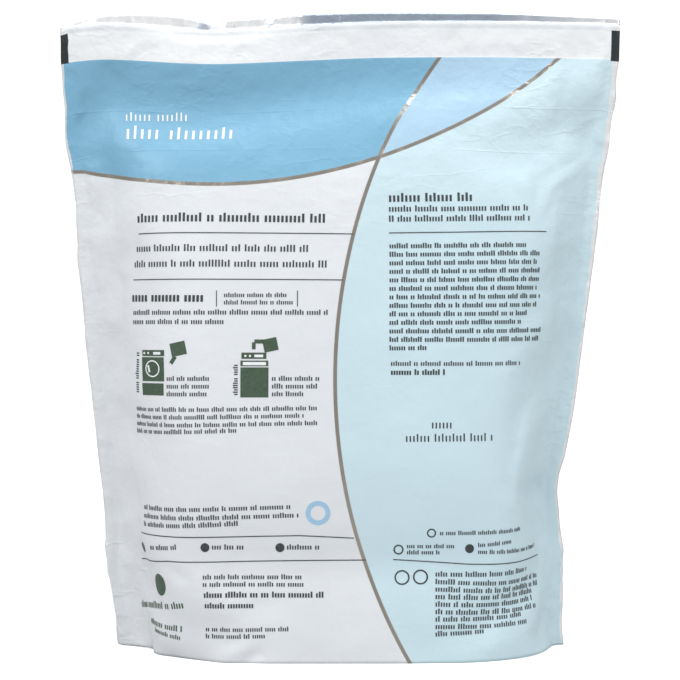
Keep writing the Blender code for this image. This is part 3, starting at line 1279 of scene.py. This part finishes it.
@dataclass
class Studio:
    """White floor, soft lights and white surroundings."""

    ambient: float = 0.52
    floor_size: float = 30.0
    floor_glow: float = 0.9
    floor_white: float = 0.55
    lights: tuple[Softbox, ...] = (
        Softbox("key", (-1.25, -1.4, 1.6), 1.2, 20.5),
        Softbox("fill", (1.5, -1.3, 0.9), 1.2, 9.0),
        Softbox("top", (0.1, -0.1, 1.7), 1.0, 11.5),
    )

    def build(self) -> None:
        """Create the surroundings."""
        for light in self.lights:
            light.build()
        self._world()
        self._floor()

    def _world(self) -> None:
        """White to the camera, and an even soft light to everything else."""
        world = bpy.data.worlds.new("studio")
        bpy.context.scene.world = world
        world.use_nodes = True
        nodes, links = world.node_tree.nodes, world.node_tree.links
        background = nodes["Background"]
        background.inputs["Color"].default_value = (1, 1, 1, 1)
        ray = nodes.new("ShaderNodeLightPath")
        level = nodes.new("ShaderNodeMapRange")
        level.inputs["To Min"].default_value = self.ambient
        level.inputs["To Max"].default_value = 1.0
        links.new(ray.outputs["Is Camera Ray"], level.inputs["Value"])
        links.new(level.outputs[0], background.inputs["Strength"])

    def _floor(self) -> None:
        """A white floor that keeps the pouch's soft shadow."""
        bm = bmesh.new()
        bmesh.ops.create_grid(bm, x_segments=1, y_segments=1, size=self.floor_size / 2)
        mesh = bpy.data.meshes.new("floor")
        bm.to_mesh(mesh)
        bm.free()
        graph = Graph("floor_white")
        shade = self.floor_white
        graph.set(Base_Color=(shade, shade, shade, 1), Roughness=0.9, Specular_IOR_Level=0.0)
        seen = graph.add("ShaderNodeLightPath", 0, {})
        graph.set(Emission_Color=(1, 1, 1, 1))
        graph.set(Emission_Strength=graph.sum("MULTIPLY", seen, self.floor_glow))
        link("floor", mesh, [graph.material])


@dataclass(frozen=True)
class Bar:
    """A rule or a line of small print, as plain bars, in the photograph's pixels."""

    y: float
    start: float
    end: float
    height: float
    words: bool = True
    weight: float = 1.0
    climb: float = 0.0


@dataclass(frozen=True)
class Block:
    """Lines of small print one below the other."""

    top: float
    pitch: float
    start: float
    ends: tuple[float, ...]
    height: float
    weight: float = 1.0
    climb: float = 0.0

    def bars(self) -> list[Bar]:
        """The block's lines."""
        widest = max(self.ends) - self.start
        return [
            Bar(self.top + k * self.pitch, self.start, end, self.height, weight=self.weight,
                climb=self.climb * (end - self.start) / widest)
            for k, end in enumerate(self.ends)
        ]


@dataclass(frozen=True)
class Plate:
    """A filled or outlined four-sided or round shape, in the photograph's pixels."""

    x: float
    y: float
    width: float
    height: float
    ring: float = 0.0
    round: bool = False
    turn: float = 0.0


WHITE_PRINT: tuple[Bar, ...] = (
    Bar(118.0, 126, 191, 6.4, weight=0.62),
    Bar(134.5, 127, 237, 9.0, weight=0.62),
)

DARK_PRINT: tuple[Bar, ...] = (
    Bar(219.5, 138, 325, 6.6),
    Bar(234.0, 139, 353, 1.0, words=False),
    Bar(249.5, 137, 313, 5.2, weight=0.9),
    Bar(265.0, 135, 327, 5.2, weight=0.9),
    Bar(280.0, 134, 343, 1.0, words=False),
    Bar(298.5, 133, 206, 6.6, weight=1.15),
    Bar(306.5, 216.5, 216.5, 0.9, words=False, climb=16),
    Bar(306.5, 297.5, 297.5, 0.9, words=False, climb=16),
    *Block(295.5, 7.3, 224, (290, 294), 3.4).bars(),
    *Block(313.0, 9.2, 134, (328, 227), 3.9).bars(),
    Bar(392.0, 138.6, 138.6, 3.6, climb=42),
    Bar(395.0, 236.0, 236.0, 3.6, climb=34),
    *Block(379.0, 7.7, 167, (213, 209, 210), 3.7).bars(),
    *Block(379.0, 7.7, 272, (320, 317, 304), 3.7).bars(),
    *Block(408.5, 7.4, 137.5, (317, 304, 317, 240), 3.5).bars(),
    *Block(507.0, 8.4, 145, (292, 299, 238), 3.8).bars(),
    Bar(532.0, 142, 168, 1.0, words=False, climb=-4.5),
    Bar(536.5, 168, 300, 1.0, words=False, climb=1),
    Bar(535.5, 300, 354, 1.0, words=False, climb=-2.5),
    Bar(547.5, 151, 178, 3.9),
    Bar(547.5, 212, 247, 3.9),
    Bar(547.5, 287, 320, 3.9),
    Bar(558.5, 142, 168, 1.0, words=False, climb=-2.5),
    Bar(561.0, 168, 260, 1.0, words=False),
    Bar(561.0, 260, 366, 1.0, words=False, climb=1),
    *Block(577.5, 7.4, 203, (303, 307), 3.7).bars(),
    Bar(595.5, 204, 326, 4.4, weight=1.15),
    Bar(606.0, 205, 258, 4.2, weight=1.15),
    *Block(629.5, 7.0, 206, (289, 265), 3.5).bars(),
    Bar(198.8, 389, 475, 6.4, climb=1),
    *Block(209.5, 10.0, 389, (529, 531), 4.6, climb=1.2).bars(),
    Bar(233.0, 389, 546, 1.0, words=False, climb=1.5),
    *Block(246.5, 8.5, 389.5, (527, 540, 539, 541, 540, 538, 540, 537, 528, 522, 541, 538, 428),
           3.8, weight=1.1, climb=1.5).bars(),
    Bar(364.0, 391, 520, 3.7, climb=1),
    Bar(372.8, 391, 447, 4.2, weight=1.2),
    Bar(425.5, 432, 454, 5.8, weight=0.7),
    Bar(439.0, 406, 493, 5.8, weight=0.7, climb=1.5),
    Bar(533.5, 440, 520, 3.2, climb=5),
    *Block(546.5, 6.2, 407, (456, 443), 3.2).bars(),
    *Block(545.5, 6.6, 478, (511, 534), 3.2, climb=7).bars(),
    Bar(559.5, 393, 467, 1.0, words=False, climb=-4.5),
    Bar(564.0, 467, 537, 1.0, words=False, climb=9.5),
    *Block(574.5, 7.5, 435.5, (526, 536, 537, 531, 531, 535, 522, 528, 484), 4.0,
           climb=7).bars(),
)

GREEN_PRINT: tuple[Bar, ...] = (
    Bar(604.5, 142, 184, 5.0, climb=-1),
    Bar(620.0, 152, 184, 4.4, climb=-10),
    Bar(629.5, 156, 182, 3.4, climb=-9),
)

DARK_SHAPES: tuple[Plate, ...] = (
    Plate(144, 547, 8.5, 9, round=True),
    Plate(205, 547.5, 9, 9, round=True),
    Plate(280, 547.5, 9, 9, round=True),
    Plate(431.5, 533.0, 9, 9, ring=1.3, round=True),
    Plate(398.5, 549.5, 10, 10, ring=1.4, round=True),
    Plate(469.5, 548.5, 9, 9, round=True),
    Plate(402.0, 577.5, 15, 15, ring=1.5, round=True),
    Plate(420.5, 577.0, 15, 15, ring=1.5, round=True),
)

PALE_SHAPES: tuple[Plate, ...] = (
    Plate(318.0, 513.0, 24, 24, ring=4.5, round=True),
)

GREEN_SHAPES: tuple[Plate, ...] = (
    Plate(160.5, 584.5, 20, 21, round=True),
    Plate(153.0, 353.0, 27.0, 6.0),
    Plate(153.0, 369.2, 27.0, 24.0),
    Plate(153.0, 389.2, 27.0, 12.0),
    Plate(178.3, 348.8, 16.0, 13.5, turn=12),
    Plate(173.2, 360.0, 4.0, 8.5, turn=-35),
    Plate(253.9, 355.7, 24.4, 6.2),
    Plate(254.4, 363.4, 27.2, 5.6),
    Plate(254.4, 382.4, 27.4, 30.0),
    Plate(270.4, 344.8, 14.0, 13.0, turn=12),
    Plate(259.0, 341.5, 9.0, 4.0),
    Plate(253.8, 345.8, 3.6, 7.0),
)

WHITE_SHAPES: tuple[Plate, ...] = (
    Plate(152.8, 368.6, 17.5, 17.0, ring=1.3, round=True),
    Plate(149.4, 368.6, 2.2, 7.0, turn=12),
    Plate(144.9, 353.0, 2.6, 2.2, round=True),
    Plate(148.8, 353.0, 2.6, 2.2, round=True),
    Plate(157.2, 353.2, 8.5, 2.6),
    Plate(245.4, 355.9, 2.2, 2.2, round=True),
    Plate(250.0, 355.9, 2.2, 2.2, round=True),
    Plate(258.8, 355.9, 8.6, 2.6),
    Plate(254.4, 363.6, 22.6, 3.2),
)


@dataclass(frozen=True)
class PrintLayer:
    """What one ink prints, and its height above the film's middle in millimetres."""

    name: str
    ink: InkFinish
    bars: tuple[Bar, ...]
    plates: tuple[Plate, ...]
    lift: float = 0.24


PRINT_LAYERS: tuple[PrintLayer, ...] = (
    PrintLayer("dark_print", InkFinish("dark_ink", linear(48, 55, 58)), DARK_PRINT, DARK_SHAPES),
    PrintLayer("green_print", InkFinish("green_ink", linear(60, 84, 63)), GREEN_PRINT,
               GREEN_SHAPES),
    PrintLayer("pale_print", InkFinish("pale_ink", linear(158, 199, 230)), (), PALE_SHAPES),
    PrintLayer("white_print", InkFinish("white_ink", linear(240, 245, 248)), WHITE_PRINT,
               WHITE_SHAPES, lift=0.32),
)


class PrintedMarks:
    """Small print as plain bars and shapes, laid on the film."""

    seed = 7
    segment = 1.5
    stroke_pitch = 0.62
    stroke_width = 0.35
    stroke_rises = (0, 0, 0, 0.35)
    word_lengths = (2, 3, 4, 5, 5, 6, 7, 8, 9, 10)
    gap = 0.6
    scale_reach = 6.0
    round_columns = 29
    round_rows = 4
    disc_middle = 0.02

    def __init__(self, where: PanelMap, name: str, lift: float) -> None:
        """Start a piece of print in one ink.

        Args:
            where: The near panel's map.
            name: The piece's name.
            lift: Its height above the film's middle, in millimetres.
        """
        self.where = where
        self.name = name
        self.random = random.Random(self.seed)
        self.lift = lift
        self.bm = bmesh.new()

    def _strip(self, start: np.ndarray, end: np.ndarray, height: float) -> None:
        """Lay a bar on the film.

        Args:
            start: Flat place of its left end's middle, in millimetres.
            end: Flat place of its right end's middle.
            height: Its height.
        """
        run = end - start
        length = float(np.hypot(*run))
        count = max(1, round(length / self.segment))
        made = bmesh.ops.create_grid(self.bm, x_segments=count, y_segments=1, size=1)["verts"]
        side = np.array([-run[1], run[0]]) / length * height / 2
        along = np.linspace(0, 1, count + 1)[:, None] * run + start
        flat = np.concatenate([along - side, along + side])
        self._drape(made, flat)

    def _drape(self, verts: list, flat: np.ndarray) -> None:
        """Put vertices on the film.

        Args:
            verts: The vertices.
            flat: Their flat places.
        """
        places = self.where.on_film(flat[:, 0], flat[:, 1], self.lift)
        for vert, place in zip(verts, places):
            vert.co = place

    def _scale(self, x: float, y: float) -> float:
        """Flat millimetres in a pixel's height around a place in the photograph."""
        reach = self.scale_reach
        rise = self.where.flat_place(x, y - reach) - self.where.flat_place(x, y + reach)
        return float(rise[1]) / (2 * reach)

    def bars(self, bars: tuple[Bar, ...]) -> None:
        """Lay lines of print and rules.

        Args:
            bars: The bars.
        """
        for bar in bars:
            start = self.where.flat_place(bar.start, bar.y)
            end = self.where.flat_place(bar.end, bar.y - bar.climb)
            height = bar.height * self._scale((bar.start + bar.end) / 2, bar.y)
            if bar.words:
                self._strokes(start, end, height, bar.weight)
            else:
                self._strip(start, end, height)

    def _strokes(self, start: np.ndarray, end: np.ndarray, height: float, weight: float) -> None:
        """Lay a line of small print as plain upright strokes, in groups like words.

        Args:
            start: Flat place of the line's left end.
            end: Flat place of its right end.
            height: Height of most strokes.
            weight: Width of a stroke against a plain one's.
        """
        length = float(np.hypot(*(end - start)))
        along = (end - start) / length
        up = np.array([-along[1], along[0]])
        half = self.stroke_width * weight * height / 2
        verts, flat = [], []
        at, left = half, self.random.choice(self.word_lengths)
        while at < length - half:
            above = self.random.choice(self.stroke_rises) * height
            verts += bmesh.ops.create_grid(self.bm, x_segments=1, y_segments=1, size=1)["verts"]
            for rise in (-height / 2, height / 2 + above):
                for side in (-half, half):
                    flat.append(start + along * (at + side) + up * rise)
            at += self.stroke_pitch * height
            left -= 1
            if not left:
                at += self.gap * height
                left = self.random.choice(self.word_lengths)
        self._drape(verts, np.array(flat))

    def plates(self, plates: tuple[Plate, ...]) -> None:
        """Lay filled and outlined shapes.

        Args:
            plates: The shapes.
        """
        for plate in plates:
            middle = self.where.flat_place(plate.x, plate.y)
            scale = self._scale(plate.x, plate.y)
            half = np.array([plate.width * self.where.mm_a_pixel, plate.height * scale]) / 2
            turn = math.radians(plate.turn)
            spin = np.array([[math.cos(turn), math.sin(turn)], [-math.sin(turn), math.cos(turn)]])
            grid = self._round_unit(plate) if plate.round else self._square_unit(half)
            unit, columns, rows = grid
            made = bmesh.ops.create_grid(
                self.bm, x_segments=columns - 1, y_segments=rows - 1, size=1
            )["verts"]
            self._drape(made, (unit * half) @ spin + middle)

    def _square_unit(self, half: np.ndarray) -> tuple[np.ndarray, int, int]:
        """Places of a four-sided plate's grid, from -1 to 1.

        Args:
            half: Half the plate's width and height, in millimetres.

        Returns:
            The places, and how many columns and rows they form.
        """
        columns, rows = (2 + int(2 * side / self.segment) for side in half)
        across, up = np.meshgrid(np.linspace(-1, 1, columns), np.linspace(-1, 1, rows))
        return np.stack([across.ravel(), up.ravel()], axis=1), columns, rows

    def _round_unit(self, plate: Plate) -> tuple[np.ndarray, int, int]:
        """Places of a disc's or a ring's grid, from -1 to 1.

        Args:
            plate: The plate.

        Returns:
            The places, and how many columns and rows they form.
        """
        columns, rows = self.round_columns, self.round_rows
        inner = 1 - 2 * plate.ring / plate.width if plate.ring else self.disc_middle
        turns, radii = np.meshgrid(
            np.linspace(0, -2 * math.pi, columns), np.linspace(inner, 1, rows)
        )
        places = np.stack([radii * np.cos(turns), radii * np.sin(turns)], axis=-1)
        return places.reshape(-1, 2), columns, rows

    def build(self, material: bpy.types.Material) -> bpy.types.Object:
        """Make the piece.

        Args:
            material: Its ink.

        Returns:
            The piece.
        """
        mesh = bpy.data.meshes.new(self.name)
        for face in self.bm.faces:
            face.normal_update()
            if face.normal.y > 0:
                face.normal_flip()
        self.bm.to_mesh(mesh)
        self.bm.free()
        return link(self.name, mesh, [material])


SWEEP_LINE: Points = (
    (73, 170), (109, 178.6), (183, 183.7), (264, 180.6), (336, 170), (383, 156), (463, 120),
    (524, 86), (559, 59),
)
DIVIDE_LINE: Points = (
    (436, 59), (410, 100), (383, 156), (357, 225), (342, 288), (335, 392), (337, 437),
    (350, 516), (371, 580), (398, 641), (410, 661),
)

CREASES: tuple[Crease, ...] = (
    Crease(((97, 68), (107, 150), (111, 200), (121, 330), (133, 470)), 5.5, -1.1, 1.6),
    Crease(((133, 470), (148, 580), (158, 622)), 5.0, -0.9, 1.6),
    Crease(((556, 64), (554, 100)), 3.5, 0.8),
    Crease(((561, 78), (561, 140)), 3.5, -1.2),
    Crease(((605, 138), (575, 160), (544, 180), (528, 215)), 3.5, -1.3, 2.0),
    Crease(((578, 190), (562, 212), (553, 232), (549, 300), (546, 380)), 3.0, 1.0, 2.4),
    Crease(((526, 395), (519, 430), (510, 470), (505, 500)), 3.5, -1.1, 2.6),
    Crease(((559, 478), (540, 487), (518, 492)), 6.5, -3.0),
    Crease(((163, 563), (178, 575), (192, 583)), 2.6, -0.6),
    Crease(((196, 568), (222, 598), (250, 634)), 4.5, 0.8, 1.8),
    Crease(((226, 628), (262, 606), (300, 598)), 4.0, -0.6, 1.8),
    Crease(((300, 62), (312, 84), (309, 106), (298, 122)), 1.8, 0.5),
    Crease(((86, 78), (94, 96), (98, 130)), 2.6, 0.7),
    Crease(((530, 165), (526, 185), (530, 214)), 3.2, 0.7),
    Crease(((256, 642), (232, 654), (214, 664)), 3.5, 0.9),
    Crease(((264, 650), (240, 665)), 2.6, -1.0),
    Crease(((531, 155), (538, 151), (548, 151), (558, 158)), 1.7, -0.5),
    Crease(((150, 83), (166, 79), (188, 77), (200, 78)), 2.0, -0.5),
    Crease(((105, 62), (112, 76), (124, 90)), 2.4, -0.8),
    Crease(((486, 655), (500, 625), (516, 600)), 5.5, 0.9),
    Crease(((535, 645), (548, 610)), 5.0, -0.9),
)

COARSE_PASS = Pass(step=6.25, count=600, force=0.025, long_bend=0.0)
MIDDLE_PASS = Pass(step=3.125, count=220, force=0.012, long_bend=0.6)
FINEST_STEP = 1.5625


def relaxed_film(pattern: FlatPattern, camera: PhotoCamera) -> Relaxation:
    """Fill the pouch and press its creases in.

    Args:
        pattern: The flat pattern.
        camera: The camera that saw the creases.

    Returns:
        The film at its finest grid.
    """
    film = Relaxation(pattern, Outline(), COARSE_PASS.step)
    film.run(COARSE_PASS)
    film = film.finer(MIDDLE_PASS.step)
    film.run(MIDDLE_PASS)
    LOG.info("film holds %.2f litres", film.litres())
    film.calm(passes=40, share=0.6)
    film = film.finer(FINEST_STEP)
    film.calm(passes=8, share=1.0)
    where = PanelMap(film, camera)
    film.crease([
        (crease, np.array([where.flat_place(*point) for point in crease.points]))
        for crease in CREASES
    ])
    return film


def main() -> None:
    """Build the scene in order."""
    logging.basicConfig(level=logging.INFO, format="%(name)s: %(message)s")
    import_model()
    bpy.context.scene.view_settings.view_transform = "Standard"
    camera = PhotoCamera()
    camera.build()
    Studio().build()
    pattern = FlatPattern()
    film = relaxed_film(pattern, camera)
    where = PanelMap(film, camera)
    sweep, divide = (
        Arc.through(np.array([where.flat_place(*point) for point in line]))
        for line in (SWEEP_LINE, DIVIDE_LINE)
    )
    LOG.info("sweep %s, divide %s", sweep, divide)
    finish = FilmFinish(sweep, divide)
    pouch = FilmSkin(film).build([finish.build(pattern), FoilFinish().build()])
    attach(pouch, "root")
    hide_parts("pouch")
    LOG.info("film skin: %d faces", len(pouch.data.polygons))
    for layer in PRINT_LAYERS:
        marks = PrintedMarks(where, layer.name, layer.lift)
        marks.bars(layer.bars)
        marks.plates(layer.plates)
        piece = marks.build(layer.ink.build())
        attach(piece, "root")
        LOG.info("%s: %d faces", layer.name, len(piece.data.polygons))


if __name__ == "__main__":
    main()
